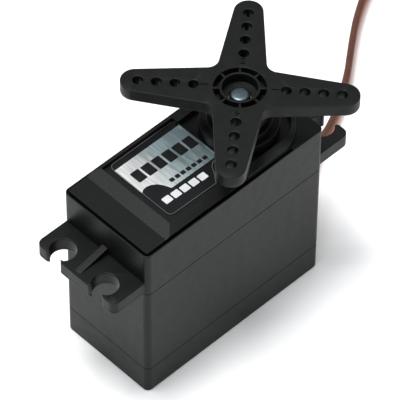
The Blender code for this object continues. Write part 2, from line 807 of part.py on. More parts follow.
def make_motor():
    """A small brushed motor: can, magnets, end cap, brushes and terminals, and its rotor."""
    place = (MOTOR_X, 0.0)
    inner = CAN_RADIUS - CAN_WALL
    can = combine(
        plate([flat_sided(CAN_RADIUS, CAN_FLAT, MOTOR_X)], CAN_LOW, CAN_HIGH),
        [cylinder(CAN_NECK, CAN_HIGH - 0.5, 24.4, place)],
        [
            plate([flat_sided(inner, CAN_FLAT - CAN_WALL, MOTOR_X)], CAN_LOW - 1, CAN_HIGH - CAN_WALL),
            cylinder(MOTOR_SHAFT + GAP, CAN_LOW, 25, place, 16),
        ],
    )
    finished(can, "motor_can", "motor_steel")

    slots = []
    for y in (-TERMINAL_Y, TERMINAL_Y):
        slots.append(block((MOTOR_X - 1.3, y - 0.5, 4), (MOTOR_X + 1.3, y + 0.5, 8)))
    cap = combine(
        plate([flat_sided(CAN_RADIUS, CAN_FLAT, MOTOR_X)], CAP_LOW, CAN_LOW - GAP),
        cut=slots + [cylinder(MOTOR_SHAFT + GAP, 5.3, 8, place, 16)],
    )
    finished(cap, "motor_end_cap", "chip")

    for index, middle in enumerate((0, 180)):
        outline = arc(MOTOR_X, 0, inner - GAP, middle - MAGNET_SPAN, middle + MAGNET_SPAN, 8)
        outline += arc(MOTOR_X, 0, MAGNET_INNER, middle + MAGNET_SPAN, middle - MAGNET_SPAN, 8)
        finished(plate([outline], *MAGNET_LEVELS), f"motor_magnet_{index + 1}", "magnet")

    for index, side in enumerate((-1, 1)):
        ends = sorted((side * 2.5, side * 6.0))
        brush = block((MOTOR_X - 0.8, ends[0], 8.5), (MOTOR_X + 0.8, ends[1], 9.7))
        finished(brush, f"motor_brush_{index + 1}", "carbon")
        y = side * TERMINAL_Y
        terminal = block((MOTOR_X - 1, y - 0.2, PART_LOW), (MOTOR_X + 1, y + 0.2, 8.2))
        finished(terminal, f"motor_terminal_{index + 1}", "bush_brass")

    slots = []
    for pole in range(3):
        turn = math.radians(90 + 120 * pole)
        slot = block((-0.6, -2.5, 9), (0.6, 2.5, 21))
        slot.rotation_euler.z = turn
        slot.location.x = (MOTOR_X + 5.5 * math.sin(turn)) * MM
        slot.location.y = -5.5 * math.cos(turn) * MM
        slots.append(slot)
    bore = cylinder(MOTOR_SHAFT + GAP, 9, 21, place, 16)
    armature = combine(cylinder(ARMATURE, *ARMATURE_LEVELS, place, 40), cut=slots + [bore])
    low, high = COMMUTATOR_LEVELS
    inner = MOTOR_SHAFT + GAP
    ring = [(COMMUTATOR, high), (COMMUTATOR, low), (inner, low), (inner, high)]
    teeth = tooth_outline(*place, MOTOR_TEETH, FINE, 0.0)
    pinion = plate([teeth, circle(*place, MOTOR_SHAFT + 0.12, 16)], *MOTOR_PINION_LEVELS)
    return [
        finished(armature, "motor_armature", "winding"),
        finished(turned(ring, place, 18), "motor_commutator", "bush_brass"),
        finished(cylinder(MOTOR_SHAFT, 5.6, 27.5, place, 16), "motor_shaft", "pin_steel"),
        finished(pinion, "motor_pinion", "bush_brass"),
    ]


# ---------------------------------------------------------------- electronics


def make_sensor():
    """The potentiometer under the output shaft, with its turning shaft and three terminals."""
    body = combine(
        cylinder(POT_RADIUS, POT_LOW, POT_HIGH),
        [cylinder(3.1, POT_HIGH - 0.5, 23.2)],
        [cylinder(POT_SHAFT + GAP, 19.2, 24)],
    )
    finished(body, "pot_body", "pot_case")
    for index, x in enumerate((-2.5, 0, 2.5)):
        wire = cylinder(0.35, PART_LOW, POT_LOW - GAP, (x, 3.2), 10)
        finished(wire, f"pot_terminal_{index + 1}", "pin_steel")
    return finished(plate([d_shape(POT_SHAFT, 1.3)], 19.5, 30.5), "pot_shaft", "pin_steel")


def make_board():
    finished(block((-25.3, -8.1, BOARD_LOW), (5.0, 8.1, BOARD_HIGH)), "circuit_board", "board")
    finished(block((-5.0, -6.4, PART_LOW), (0.2, -2.8, 5.3)), "control_chip", "chip")
    finished(cylinder(1.5, PART_LOW, 8.5, (2.6, -5.4), 20), "capacitor", "motor_steel")
    for index, x in enumerate((-5.4, -1.6)):
        finished(block((x, 5.4, PART_LOW), (x + 2.6, 6.8, 5.0)), f"transistor_{index + 1}", "chip")


# ---------------------------------------------------------------- lead


def smooth_route(points, spacing):
    """Evenly spaced points on a smooth curve through the route's own points."""
    ends = [
        [2 * a - b for a, b in zip(points[0], points[1])],
        [2 * a - b for a, b in zip(points[-1], points[-2])],
    ]
    knots = [ends[0]] + [list(p) for p in points] + [ends[1]]
    fine = []
    for i in range(1, len(knots) - 2):
        p0, p1, p2, p3 = knots[i - 1 : i + 3]
        for step in range(20):
            t = step / 20
            fine.append(
                [
                    0.5 * (2 * b + (c - a) * t + (2 * a - 5 * b + 4 * c - d) * t**2)
                    + 0.5 * (3 * b - a - 3 * c + d) * t**3
                    for a, b, c, d in zip(p0, p1, p2, p3)
                ]
            )
    fine.append(list(points[-1]))
    total = sum(math.dist(a, b) for a, b in zip(fine, fine[1:]))
    count = max(2, round(total / spacing))
    even = [fine[0]]
    walked = 0.0
    for a, b in zip(fine, fine[1:]):
        walked += math.dist(a, b)
        if walked >= total * len(even) / count and len(even) < count:
            even.append(b)
    return even + [fine[-1]]


def ribbon(name, route):
    """A flat ribbon along a route: the curve's extrude is its width and its bevel its round edges."""
    curve = bpy.data.curves.new(name, "CURVE")
    curve.dimensions = "3D"
    curve.twist_mode = "Z_UP"
    curve.fill_mode = "FULL"
    curve.use_fill_caps = True
    curve.bevel_depth = RIBBON_THICK / 2 * MM
    curve.bevel_resolution = 2
    curve.extrude = (RIBBON_WIDTH - RIBBON_THICK) / 2 * MM
    spline = curve.splines.new("POLY")
    spline.points.add(len(route) - 1)
    for point, place in zip(spline.points, route):
        point.co = (*[value * MM for value in place], 1.0)
        point.tilt = math.pi / 2
    return finished(new_object(name, curve), name, "lead")


def make_lead():
    """The grommet in the case's wall, the ribbon inside and outside, its spare coil and connector."""
    exit_height = (NOTCH_LOW + NOTCH_HIGH) / 2
    half = NOTCH_HALF - GAP
    grommet_end = CASE_FRONT + 0.3
    body = block((INNER_FRONT - 0.6, -half, NOTCH_LOW + GAP), (grommet_end, half, NOTCH_HIGH - GAP))
    flange = block((INNER_FRONT - 1.1, -3.0, 3.9), (INNER_FRONT - GAP, 3.0, 8.0))
    finished(combine(body, [flange]), "lead_strain_relief", "rubber")

    inside = [(7.1, 0, exit_height), (6.0, 0, 5.6), (4.6, 0, 4.9), (2.4, 0, 4.6)]
    ribbon("lead_inner", smooth_route(inside, 1.0))

    outside = [
        (grommet_end + GAP, 0, exit_height),
        (13.2, 0.2, 5.7),
        (17.6, 1.5, 4.2),
        (22.0, 4.0, 2.3),
        (26.0, 6.6, 1.0),
        (29.3, 8.4, RIBBON_REST),
        (32.3, 9.5, RIBBON_REST),
        (37.2, 12.0, RIBBON_REST),
        (43.0, 15.8, RIBBON_REST),
        (46.5, 18.5, RIBBON_REST),
        (50.2, 21.4, RIBBON_REST),
        (54.9, 24.8, RIBBON_REST),
        (60.8, 28.2, RIBBON_REST),
        (66.5, 30.2, RIBBON_REST),
        (70.2, 30.85, RIBBON_REST),
    ]
    ribbon("lead_ribbon", smooth_route(outside, 2.4))

    turn = COIL_OUTER_TURN + RIBBON_WIDTH / 2
    inner = COIL_OUTER_TURN - TURN_PITCH - RIBBON_WIDTH / 2
    ring = [(turn, COIL_HIGH), (turn, 0.02), (inner, 0.02), (inner, COIL_HIGH)]
    finished(turned(ring, COIL_CENTRE, 48), "lead_coil", "lead")

    long, wide, high = CONNECTOR
    housing = block((-long / 2, -wide / 2, 0.02), (long / 2, wide / 2, high))
    sockets = []
    for y in (-CONTACT_PITCH, 0, CONTACT_PITCH):
        sockets.append(block((long / 2 - 8, y - 0.4, 0.85), (long / 2 + 1, y + 0.4, 1.65)))
    for shape in [housing] + sockets:
        middle = shape.location.copy()
        shape.location.x = CONNECTOR_PLACE[0] * MM + middle.x * math.cos(CONNECTOR_TURN)
        shape.location.x -= middle.y * math.sin(CONNECTOR_TURN)
        shape.location.y = CONNECTOR_PLACE[1] * MM + middle.x * math.sin(CONNECTOR_TURN)
        shape.location.y += middle.y * math.cos(CONNECTOR_TURN)
        shape.rotation_euler.z = CONNECTOR_TURN
    finished(combine(housing, cut=sockets), "connector_housing", "connector_plastic")


# ---------------------------------------------------------------- assembly


def main():
    clear_scene()
    make_materials()
    make_bottom_cover()
    make_middle_case()
    make_top_case()
    make_case_screws()
    make_label()
    output = make_output()
    horn = make_horn()
    gear_1, gear_2, gear_3 = make_gears()
    rotor = make_motor()
    sensor_shaft = make_sensor()
    make_board()
    make_lead()
    hang_on(axis_empty("output_axis", 0, 0, DECK_LOW), output, horn, sensor_shaft)
    hang_on(axis_empty("gear_1_axis", *PIN_1, PIN_LOW), gear_1)
    hang_on(axis_empty("gear_2_axis", *PIN_2, PIN_LOW), gear_2)
    hang_on(axis_empty("gear_3_axis", *PIN_1, PIN_LOW), gear_3)
    hang_on(axis_empty("rotor_axis", MOTOR_X, 0, CAN_LOW), *rotor)


main()
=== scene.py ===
"""Looks of the hobby servo motor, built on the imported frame. Lengths are millimetres times MM."""
import json
import math

import bmesh
import bpy
from mathutils import Matrix, Vector


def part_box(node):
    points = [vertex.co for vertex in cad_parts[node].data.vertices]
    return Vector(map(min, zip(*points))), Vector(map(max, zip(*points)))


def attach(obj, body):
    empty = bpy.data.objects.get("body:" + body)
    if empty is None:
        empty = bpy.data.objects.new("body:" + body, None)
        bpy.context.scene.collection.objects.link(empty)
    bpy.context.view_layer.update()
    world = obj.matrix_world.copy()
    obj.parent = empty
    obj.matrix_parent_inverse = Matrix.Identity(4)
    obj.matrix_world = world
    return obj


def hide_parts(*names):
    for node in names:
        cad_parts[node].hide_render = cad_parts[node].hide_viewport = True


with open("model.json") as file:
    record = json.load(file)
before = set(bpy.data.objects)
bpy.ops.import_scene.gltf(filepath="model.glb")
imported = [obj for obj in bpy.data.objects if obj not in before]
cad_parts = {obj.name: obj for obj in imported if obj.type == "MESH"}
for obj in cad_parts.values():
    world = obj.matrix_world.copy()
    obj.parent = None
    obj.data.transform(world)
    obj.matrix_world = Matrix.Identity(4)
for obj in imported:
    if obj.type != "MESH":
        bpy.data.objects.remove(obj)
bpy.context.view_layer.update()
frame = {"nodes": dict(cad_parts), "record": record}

MM = 0.001
NODES = frame["nodes"]

# Levels, sizes and places of the case, as in the CAD model. The seams, the rim, the groove inside
# it and the small rounded edges are finer here.
SEAM_LOW = 5.9
SEAM_HIGH = 25.35
SEAM_HALF = 0.04
SEAM_EDGE = 0.05
FLOOR = 1.6
PARTITION = 23.7
WALL = 1.4
ROOF = 34.5
WALL_TOP = 35.0
GROOVE_FLOOR = 34.3
GROOVE_OUT = 0.24
GROOVE_IN = 0.58
LEDGE = 35.35
DECK_TOP = 35.22
FRAME_TOP = 36.05
POCKET_FLOOR = 35.3
MOAT_FLOOR = 34.95
CASE_CORNER = 1.1
DECK_BACK = 3.0
MOAT_BACK = -6.75
MOAT_FRONT = 2.3
MOAT_HALF = 7.4
MOAT_CORNER = 5.8
POCKET_BACK = -23.0
POCKET_MINUS_Y = -7.5
POCKET_PLUS_Y = 8.6
FRAMES_MEET = -7.0
FRAME_SLOPE = 0.28
SHAFT_FRAME_HALF = 9.2
SHAFT_FRAME_RADIUS = 9.4
SHAFT_FRAME_FALL = 0.12
EAR_LOW = 25.6
EAR_SEAM = 26.15
EAR_TOP = 28.3
LABEL_LOW = 35.32
LABEL_TOP = 35.42
SCREW_PLACES = [(-27.8, -7.3), (-27.8, 7.3), (7.4, -7.3), (7.4, 7.3)]
SCREW_PILLAR = 2.1
SCREW_BORE = 1.2
SCREW_COUNTERBORE = 2.0
EJECTOR_PLACES = [(-20.4, -5.6), (-20.4, 5.6), (0.0, -5.6), (0.0, 5.6)]
MOTOR_PLACE = (-17.71, 0)
GEAR_PLACE_1 = (-10.57, -1.95)
GEAR_PLACE_2 = (-15.98, 2.8)

# The horn turns about the output shaft, and its first arm stands at HORN_TURN degrees
HORN_TURN = 40.8
HORN_LOW = 42.6
HORN_HIGH = 45.0
HORN_PLATE = HORN_HIGH - 1.6
HORN_ARM_HOLES = (7.6, 10.65, 13.7, 16.75)
HORN_HOLE = 0.875
HUB_RING = 3.4
HUB_BORE = 3.0


def box_mm(node):
    """A CAD node's lowest and highest corners, in millimetres."""
    low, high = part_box(node)
    return [v / MM for v in low], [v / MM for v in high]


(CASE_BACK, _, _), (CASE_FRONT, CASE_HALF, _) = box_mm("middle_case")
(EAR_BACK, _, _), (EAR_FRONT, _, _) = box_mm("top_case")


# ---------------------------------------------------------------- outlines


def arc(x, y, radius, start, end, steps):
    """Points along an arc, its angles in degrees."""
    angles = [math.radians(start + (end - start) * i / steps) for i in range(steps + 1)]
    return [(x + radius * math.cos(a), y + radius * math.sin(a)) for a in angles]


def circle(x, y, radius, sides=48):
    return arc(x, y, radius, 0, 360, sides)[:-1]


def rounded(x0, x1, y0, y1, radius, steps=8):
    """A rectangle with round corners."""
    points = []
    for x, y, start in ((x1, y1, 0), (x0, y1, 90), (x0, y0, 180), (x1, y0, 270)):
        middle_x = x + math.copysign(radius, (x0 + x1) / 2 - x)
        middle_y = y + math.copysign(radius, (y0 + y1) / 2 - y)
        points += arc(middle_x, middle_y, radius, start, start + 90, steps)
    return points


def case_outline(inset=0.0):
    """The outside of the case, or a line inset from it."""
    radius = max(0.3, CASE_CORNER - inset)
    half = CASE_HALF - inset
    return rounded(CASE_BACK + inset, CASE_FRONT - inset, -half, half, radius)


def inner_outline():
    """The inside of the case's walls."""
    return case_outline(WALL)


def area(outline):
    """The outline's area, positive where it runs anticlockwise."""
    return sum(a[0] * b[1] - b[0] * a[1] for a, b in zip(outline, outline[1:] + outline[:1])) / 2


def moved_in(outline, inset):
    """The outline moved towards the material, which lies on its left."""
    shifted = []
    for i, here in enumerate(outline):
        before, after = outline[i - 1], outline[(i + 1) % len(outline)]
        first = (Vector(here) - Vector(before)).normalized()
        second = (Vector(after) - Vector(here)).normalized()
        normal_1, normal_2 = Vector((first.y, -first.x)), Vector((second.y, -second.x))
        miter = (normal_1 + normal_2) / max(0.3, 1 + normal_1.dot(normal_2))
        shifted.append((here[0] - inset * miter.x, here[1] - inset * miter.y))
    return shifted


# ---------------------------------------------------------------- mesh building


def slab(shape, outlines, low, high, top=0.0, bottom=0.0, steps=3):
    """Adds a flat piece with rounded edges: the first outline is its edge and the others are holes."""
    levels = []
    for k in range(steps + 1 if bottom else 1):
        a = math.pi / 2 * k / steps
        levels.append((bottom * (1 - math.sin(a)), low + bottom * (1 - math.cos(a))))
    for k in range(steps + 1 if top else 1):
        a = math.pi / 2 * k / steps
        levels.append((top * (1 - math.cos(a)), high - top * (1 - math.sin(a))))
    first, last, faces = [], [], []
    for index, outline in enumerate(outlines):
        if (area(outline) > 0) != (index == 0):
            outline = outline[::-1]
        rings = []
        for inset, z in levels:
            points = moved_in(outline, inset) if inset else outline
            rings.append([shape.verts.new((x * MM, y * MM, z * MM)) for x, y in points])
        for ring, above in zip(rings, rings[1:]):
            for i in range(len(ring)):
                faces.append(shape.faces.new((ring[i - 1], ring[i], above[i], above[i - 1])))
        for ring, edges in ((rings[0], first), (rings[-1], last)):
            edges += [shape.edges.get((ring[i - 1], ring[i])) for i in range(len(ring))]
    for edges in (first, last):
        made = bmesh.ops.triangle_fill(shape, edges=edges, use_beauty=True)
        faces += [f for f in made["geom"] if isinstance(f, bmesh.types.BMFace)]
    bmesh.ops.recalc_face_normals(shape, faces=faces)
    return faces


def lathe(shape, profile, place=(0.0, 0.0), steps=48):
    """Adds a turned piece from (radius, height) points; a closed profile repeats its first point."""
    rings = []
    for radius, z in profile:
        if radius < 1e-6:
            rings.append([shape.verts.new((place[0] * MM, place[1] * MM, z * MM))])
            continue
        rings.append([shape.verts.new((x * MM, y * MM, z * MM)) for x, y in circle(*place, radius, steps)])
    if profile[0] == profile[-1] and profile[0][0] > 1e-6:
        for vert in rings[-1]:
            shape.verts.remove(vert)
        rings[-1] = rings[0]
    faces = []
    for ring, above in zip(rings, rings[1:]):
        for i in range(steps):
            corners = [ring[(i - 1) % len(ring)], ring[i % len(ring)]]
            corners += [above[i % len(above)], above[(i - 1) % len(above)]]
            corners = [c for k, c in enumerate(corners) if c not in corners[:k]]
            faces.append(shape.faces.new(corners))
    bmesh.ops.recalc_face_normals(shape, faces=faces)
    return faces


def sloped(shape, low_outline, high_outline, low, high):
    """Adds a flat-topped shape whose sides slope between two outlines."""
    rings = []
    for outline, z in ((low_outline, low), (high_outline, high)):
        rings.append([shape.verts.new((x * MM, y * MM, z * MM)) for x, y in outline])
    faces = [shape.faces.new(rings[0]), shape.faces.new(rings[1])]
    for i in range(len(low_outline)):
        faces.append(shape.faces.new((rings[0][i - 1], rings[0][i], rings[1][i], rings[1][i - 1])))
    bmesh.ops.recalc_face_normals(shape, faces=faces)
    return faces


def as_object(name, shape):
    """An object in the scene from the shape, which is used up."""
    mesh = bpy.data.meshes.new(name)
    shape.to_mesh(mesh)
    shape.free()
    made = bpy.data.objects.new(name, mesh)
    bpy.context.scene.collection.objects.link(made)
    return made


def carved(shape, *cutters):
    """The shape with the cutters taken from it."""
    base = as_object("base", shape)
    helpers = [base]
    for cutter in cutters:
        helper = as_object("cutter", cutter)
        helpers.append(helper)
        modifier = base.modifiers.new("cut", "BOOLEAN")
        modifier.operation = "DIFFERENCE"
        modifier.solver = "EXACT"
        modifier.object = helper
    graph = bpy.context.evaluated_depsgraph_get()
    graph.update()
    mesh = bpy.data.meshes.new_from_object(base.evaluated_get(graph))
    result = bmesh.new()
    result.from_mesh(mesh)
    for helper in helpers:
        bpy.data.objects.remove(helper)
    return result


def merged(*shapes):
    """One mesh holding all the shapes."""
    whole = bmesh.new()
    for shape in shapes:
        mesh = bpy.data.meshes.new("part")
        shape.to_mesh(mesh)
        shape.free()
        whole.from_mesh(mesh)
        bpy.data.meshes.remove(mesh)
    return whole


def softened(shape, width, angle=30.0, segments=2):
    """Rounds the shape's sharp edges by a small width."""
    bmesh.ops.remove_doubles(shape, verts=shape.verts, dist=0.002 * MM)
    bmesh.ops.dissolve_limit(shape, angle_limit=math.radians(1), verts=shape.verts, edges=shape.edges)
    edges = [e for e in shape.edges if len(e.link_faces) == 2 and e.calc_face_angle(0) > math.radians(angle)]
    bmesh.ops.bevel(
        shape, geom=edges, offset=width * MM, segments=segments, profile=0.5, affect="EDGES", clamp_overlap=True
    )
    return shape


def put(shape, matrix):
    """Moves the whole shape."""
    bmesh.ops.transform(shape, matrix=matrix, verts=shape.verts)
    return shape


def moved(x, y, z=0.0):
    """A move in millimetres."""
    return Matrix.Translation((x * MM, y * MM, z * MM))


def turned(angle, axis="Z"):
    """A turn in radians."""
    return Matrix.Rotation(angle, 4, axis)


HARD_EDGE = 35.0


def piece(name, shape, material, body="case", stands_for=(), angle=50.0):
    """Makes the finished object: smooth shading, material and body, and hides the CAD parts it stands for."""
    made = as_object(name, shape)
    made.data.shade_smooth()
    made.data.set_sharp_from_angle(angle=math.radians(angle))
    weighted = made.modifiers.new("normals", "WEIGHTED_NORMAL")
    weighted.keep_sharp = True
    weighted.weight = 80
    for each in material if isinstance(material, (list, tuple)) else [material]:
        made.data.materials.append(each)
    if stands_for:
        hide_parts(*stands_for)
    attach(made, body)
    return made


# ---------------------------------------------------------------- materials


class Nodes:
    """A small helper for writing a material's node tree."""

    def __init__(self, name):
        self.material = bpy.data.materials.new(name)
        self.material.use_nodes = True
        self.tree = self.material.node_tree
        self.shader = self.tree.nodes["Principled BSDF"]
        self.place = self.add("ShaderNodeTexCoord").outputs["Object"]

    def add(self, kind, **settings):
        node = self.tree.nodes.new(kind)
        for key, value in settings.items():
            if key in node.inputs:
                node.inputs[key].default_value = value
            else:
                setattr(node, key, value)
        return node

    def link(self, out, socket):
        self.tree.links.new(out, socket)
        return out

    def set(self, **values):
        for key, value in values.items():
            socket = self.shader.inputs[key.replace("_", " ")]
            socket.default_value = (*value, 1.0) if isinstance(value, tuple) else value

    def noise(self, scale, detail=2.0, roughness=0.5, place=None):
        node = self.add("ShaderNodeTexNoise")
        node.inputs["Scale"].default_value = scale / MM
        node.inputs["Detail"].default_value = detail
        node.inputs["Roughness"].default_value = roughness
        self.link(place or self.place, node.inputs["Vector"])
        return node.outputs["Fac"]

    def stretched(self, x, y, z):
        """The place with its axes scaled, for grain along one of them."""
        node = self.add("ShaderNodeMapping")
        node.inputs["Scale"].default_value = (x, y, z)
        self.link(self.place, node.inputs["Vector"])
        return node.outputs["Vector"]

    def ramp(self, fac, stops):
        """A colour for each value, from (value, colour) stops."""
        node = self.add("ShaderNodeValToRGB")
        self.link(fac, node.inputs["Fac"])
        elements = node.color_ramp.elements
        while len(elements) < len(stops):
            elements.new(0.5)
        for element, (at, colour) in zip(elements, stops):
            element.position = at
            element.color = (*colour, 1.0) if isinstance(colour, tuple) else (colour,) * 3 + (1.0,)
        return node.outputs["Color"]

    def span(self, fac, low, high):
        """A noise value spread between two numbers."""
        node = self.add("ShaderNodeMapRange")
        node.inputs["From Min"].default_value = 0.3
        node.inputs["From Max"].default_value = 0.7
        node.inputs["To Min"].default_value = low
        node.inputs["To Max"].default_value = high
        self.link(fac, node.inputs["Value"])
        return node.outputs["Result"]

    def along(self, axis, low, high):
        """Zero to one between two places on an axis."""
        parts = self.add("ShaderNodeSeparateXYZ")
        self.link(self.place, parts.inputs[0])
        node = self.add("ShaderNodeMapRange")
        node.inputs["From Min"].default_value = low * MM
        node.inputs["From Max"].default_value = high * MM
        self.link(parts.outputs[axis], node.inputs["Value"])
        return node.outputs["Result"]

    def bump(self, height, strength, distance=0.02):
        node = self.add("ShaderNodeBump")
        node.inputs["Strength"].default_value = strength
        node.inputs["Distance"].default_value = distance * MM
        self.link(height, node.inputs["Height"])
        self.link(node.outputs["Normal"], self.shader.inputs["Normal"])

    def colour_from(self, out):
        self.link(out, self.shader.inputs["Base Color"])

    def roughness_from(self, out):
        self.link(out, self.shader.inputs["Roughness"])


def moulded_plastic(name, colour, lighter, rough=(0.38, 0.44), grain=2.8, bump=0.3, ior=1.28):
    """Injection-moulded plastic: faint mottling, a fine spark-eroded grain and uneven gloss."""
    nodes = Nodes(name)
    nodes.set(IOR=ior)
    nodes.colour_from(nodes.ramp(nodes.noise(0.35, 4.0), [(0.3, colour), (0.7, lighter)]))
    nodes.roughness_from(nodes.span(nodes.noise(0.6, 3.0), *rough))
    nodes.bump(nodes.noise(grain, 3.0, 0.6), bump, 0.09)
    return nodes.material


def metal(name, colour, lighter, rough=(0.2, 0.34), stretch=(1, 1, 1), grain=2.0):
    """Metal with fine working marks along one direction."""
    nodes = Nodes(name)
    nodes.set(Metallic=1.0)
    place = nodes.stretched(*stretch)
    marks = nodes.noise(grain, 3.0, 0.6, place)
    nodes.colour_from(nodes.ramp(marks, [(0.3, colour), (0.7, lighter)]))
    nodes.roughness_from(nodes.span(marks, *rough))
    nodes.bump(marks, 0.1, 0.01)
    return nodes.material


# Painted reflection and shade on the silver print: white at the motor end, grey-blue under the horn at the
# output end.
PAINTED_REFLECTION_FADE = [
    (0.0, (0.96, 0.96, 0.95)),
    (0.25, (0.92, 0.94, 0.93)),
    (0.6, (0.5, 0.63, 0.66)),
    (1.0, (0.36, 0.47, 0.5)),
]


def brushed_silver():
    """Brushed silver foil, its colour going from white at the motor end to grey-blue at the output end: painted
    reflection of the bright room and painted shade under the horn.
    """
    nodes = Nodes("silver_print")
    nodes.set(Metallic=1.0)
    marks = nodes.noise(4.5, 3.0, 0.6, nodes.stretched(1, 0.05, 1))
    nodes.roughness_from(nodes.span(marks, 0.3, 0.44))
    # The painted reflection and shade run along X, from the motor end to the output end.
    fade = nodes.along("X", -21.0, -8.0)
    tint = nodes.ramp(fade, PAINTED_REFLECTION_FADE)
    mix = nodes.add("ShaderNodeMix", data_type="RGBA", blend_type="MULTIPLY")
    mix.inputs["Factor"].default_value = 0.7
    nodes.link(tint, mix.inputs[6])
    nodes.link(nodes.ramp(marks, [(0.35, 0.72), (0.65, 1.0)]), mix.inputs[7])
    nodes.colour_from(mix.outputs[2])
    nodes.bump(marks, 0.1, 0.01)
    return nodes.material


def ink(name, colour, lighter, rough=(0.3, 0.4), bump=0.02):
    """Print on the label: almost smooth."""
    return moulded_plastic(name, colour, lighter, rough=rough, bump=bump)


CASE_PLASTIC = moulded_plastic("case_plastic", (0.0026, 0.0032, 0.0029), (0.0040, 0.0047, 0.0042))
# A lighter copy of the case plastic for the raised ring round the moat: painted sheen, so that the ring reads
# lighter than the deck.
LIT_FRAME_PLASTIC = moulded_plastic(
    "frame_plastic_painted_sheen", (0.009, 0.0102, 0.0093), (0.0145, 0.016, 0.0148), rough=(0.42, 0.52), grain=5.0
)
HORN_PLASTIC = moulded_plastic(
    "horn_plastic", (0.0028, 0.0033, 0.0029), (0.0042, 0.0048, 0.0043), rough=(0.38, 0.5)
)
RUBBER = moulded_plastic("soft_rubber", (0.012, 0.012, 0.012), (0.02, 0.02, 0.02), rough=(0.6, 0.75))
CONNECTOR_PLASTIC = moulded_plastic("connector_plastic", (0.011, 0.011, 0.011), (0.018, 0.018, 0.018))
BROWN = moulded_plastic("brown_insulation", (0.085, 0.034, 0.022), (0.11, 0.044, 0.028), rough=(0.4, 0.5))
RED = moulded_plastic("red_insulation", (0.24, 0.07, 0.045), (0.28, 0.085, 0.055), rough=(0.4, 0.5))
ORANGE = moulded_plastic("orange_insulation", (0.52, 0.17, 0.10), (0.58, 0.20, 0.12), rough=(0.4, 0.5))
SHAFT_STEEL = metal("shaft_steel", (0.085, 0.115, 0.125), (0.11, 0.145, 0.155), rough=(0.34, 0.44))
SILVER_PRINT = brushed_silver()
# Black label ink, also used as painted shade on the ring round the shaft's end.
BLACK_PRINT_AND_SHADE = ink("black_print_and_shade", (0.0045, 0.005, 0.0055), (0.006, 0.0068, 0.0072), (0.28, 0.36), 0.03)
DARK_PRINT = ink("dark_print", (0.005, 0.005, 0.006), (0.009, 0.009, 0.01))
BORDER_PRINT = ink("border_print", (0.07, 0.075, 0.075), (0.10, 0.105, 0.105))
PALE_PRINT = ink("pale_print", (0.52, 0.54, 0.54), (0.62, 0.64, 0.64))
CONTACT = metal("contact_metal", (0.7, 0.55, 0.25), (0.8, 0.66, 0.34))

FINISHES = {
    "screw_steel": metal(
        "screw_steel_finish", (0.38, 0.38, 0.39), (0.5, 0.5, 0.51), rough=(0.28, 0.42), grain=3.0
    ),
    "bush_brass": metal(
        "bush_brass_finish", (0.58, 0.43, 0.18), (0.68, 0.52, 0.25), rough=(0.22, 0.36), stretch=(1, 1, 0.2)
    ),
    "gear_nylon": moulded_plastic(
        "gear_nylon_finish", (0.70, 0.67, 0.59), (0.79, 0.77, 0.70), rough=(0.42, 0.52), ior=1.5
    ),
    "pin_steel": metal(
        "pin_steel_finish", (0.52, 0.52, 0.54), (0.64, 0.64, 0.66), rough=(0.16, 0.26), stretch=(1, 1, 0.1)
    ),
    "motor_steel": metal(
        "motor_steel_finish", (0.44, 0.45, 0.47), (0.56, 0.57, 0.59), rough=(0.26, 0.4), stretch=(1, 1, 0.15)
    ),
    "magnet": moulded_plastic(
        "magnet_finish", (0.03, 0.03, 0.032), (0.055, 0.055, 0.058), rough=(0.55, 0.7), grain=4.0, bump=0.3
    ),
    "carbon": moulded_plastic(
        "carbon_finish", (0.012, 0.012, 0.013), (0.03, 0.03, 0.031), rough=(0.5, 0.7), grain=5.0, bump=0.3
    ),
    "winding": metal(
        "winding_finish",
        (0.42, 0.16, 0.06),
        (0.62, 0.27, 0.11),
        rough=(0.28, 0.4),
        stretch=(1, 1, 0.05),
        grain=6.0,
    ),
    "pot_case": moulded_plastic("pot_case_finish", (0.04, 0.08, 0.06), (0.06, 0.11, 0.085), ior=1.45),
    "board": moulded_plastic(
        "board_finish",
        (0.02, 0.13, 0.055),
        (0.035, 0.18, 0.08),
        rough=(0.3, 0.42),
        grain=1.2,
        bump=0.2,
        ior=1.5,
    ),
    "chip": moulded_plastic(
        "chip_finish", (0.014, 0.014, 0.015), (0.026, 0.026, 0.027), rough=(0.45, 0.6), grain=4.0, ior=1.5
    ),
    "lead": RED,
}


def finish_cad_parts():
    """Each CAD part that no piece stands for gets the finish of its record slot."""
    for row in frame["record"]["subparts"]:
        if row["material_slot"] in FINISHES:
            for slot in NODES[row["node"]].material_slots:
                slot.material = FINISHES[row["material_slot"]]


# ---------------------------------------------------------------- case


def prism(outline, low, high):
    """A new shape from one outline, with sharp edges."""
    shape = bmesh.new()
    slab(shape, [outline], low, high)
    return shape


def filleted(profile, radius, steps=3):
    """An open profile with its corners rounded."""
    points = [profile[0]]
    for before, here, after in zip(profile, profile[1:], profile[2:]):
        here, before, after = Vector(here), Vector(before), Vector(after)
        reach = min(radius, (before - here).length * 0.45, (after - here).length * 0.45)
        start = here + (before - here).normalized() * reach
        end = here + (after - here).normalized() * reach
        for k in range(steps + 1):
            t = k / steps
            points.append(tuple((1 - t) ** 2 * start + 2 * t * (1 - t) * here + t * t * end))
    return points + [profile[-1]]


def pillars(shape, low, high):
    """Adds the four bored pillars that the case's screws go through."""
    for x, y in SCREW_PLACES:
        slab(shape, [circle(x, y, SCREW_PILLAR, 24), circle(x, y, SCREW_BORE, 16)], low, high)


def lead_notch():
    """A cutter for the lead's way out of the output end."""
    return prism(rounded(7.6, 11.0, -2.35, 2.35, 0.1, 2), 4.45, 7.35)


